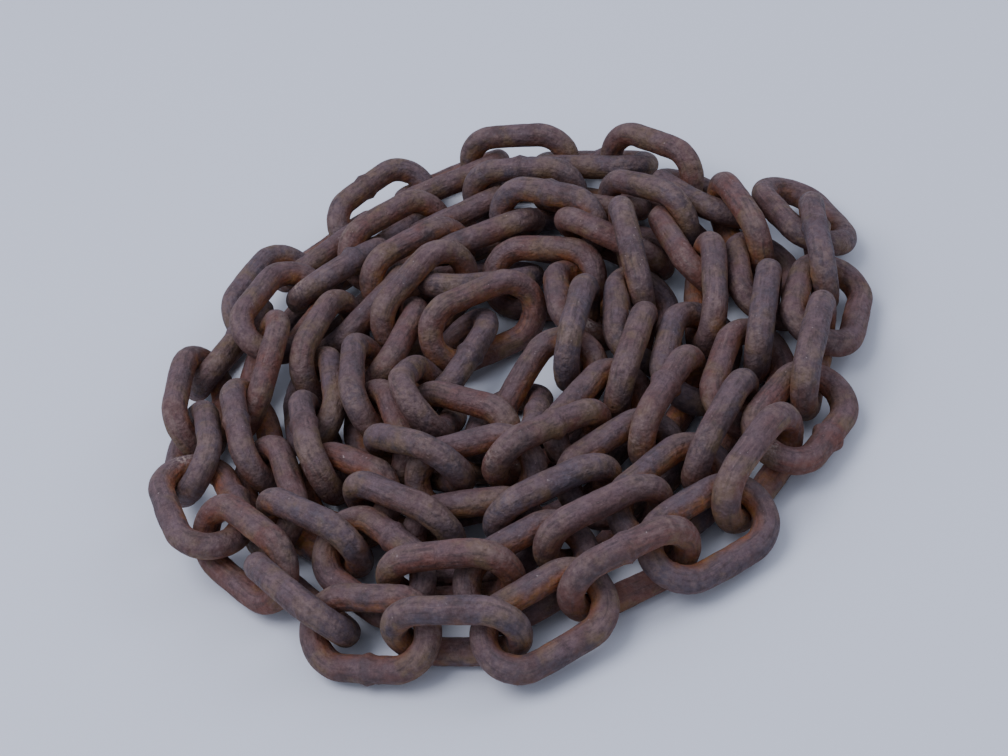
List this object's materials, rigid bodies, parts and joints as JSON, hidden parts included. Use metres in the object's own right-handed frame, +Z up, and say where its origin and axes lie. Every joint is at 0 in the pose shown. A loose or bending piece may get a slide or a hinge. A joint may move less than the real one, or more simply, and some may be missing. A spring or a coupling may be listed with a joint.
{
  "type": "heap of iron chain",
  "caption": "Length of heavy rusted short-link iron chain, coiled loosely in a low flat heap of nested turns, with a loose link at each end.",
  "frame": {"origin": "on the floor, below the middle of the heap's box", "axes": "+Z up from the floor; the heap's outer end lies towards +X +Y, and the chain winds inwards clockwise seen from above"},
  "size_m": [0.2672, 0.2812, 0.0442],
  "materials": {
    "rusted_iron": "wrought or mild steel bar, rusted all over to a dry matt dark brown"
  },
  "bodies": {
    "root": {"outer_end_link": "rusted_iron", "chain_run_01": "rusted_iron", "chain_run_02": "rusted_iron", "chain_run_03": "rusted_iron", "chain_run_04": "rusted_iron", "chain_run_05": "rusted_iron", "chain_run_06": "rusted_iron", "chain_run_07": "rusted_iron", "chain_run_08": "rusted_iron", "chain_run_09": "rusted_iron", "chain_run_10": "rusted_iron", "chain_run_11": "rusted_iron", "chain_run_12": "rusted_iron", "chain_run_13": "rusted_iron", "chain_run_14": "rusted_iron", "chain_run_15": "rusted_iron", "chain_run_16": "rusted_iron", "chain_run_17": "rusted_iron", "chain_run_18": "rusted_iron", "chain_run_19": "rusted_iron", "chain_run_20": "rusted_iron", "chain_run_21": "rusted_iron", "chain_run_22": "rusted_iron", "chain_run_23": "rusted_iron", "chain_run_24": "rusted_iron", "chain_run_25": "rusted_iron", "chain_run_26": "rusted_iron", "chain_run_27": "rusted_iron", "chain_run_28": "rusted_iron", "chain_run_29": "rusted_iron", "chain_run_30": "rusted_iron", "chain_run_31": "rusted_iron", "chain_run_32": "rusted_iron", "chain_run_33": "rusted_iron", "chain_run_34": "rusted_iron", "chain_run_35": "rusted_iron", "chain_run_36": "rusted_iron", "chain_run_37": "rusted_iron", "chain_run_38": "rusted_iron", "chain_run_39": "rusted_iron", "chain_run_40": "rusted_iron", "chain_run_41": "rusted_iron", "inner_end_link": "rusted_iron"}
  },
  "joints": []
}
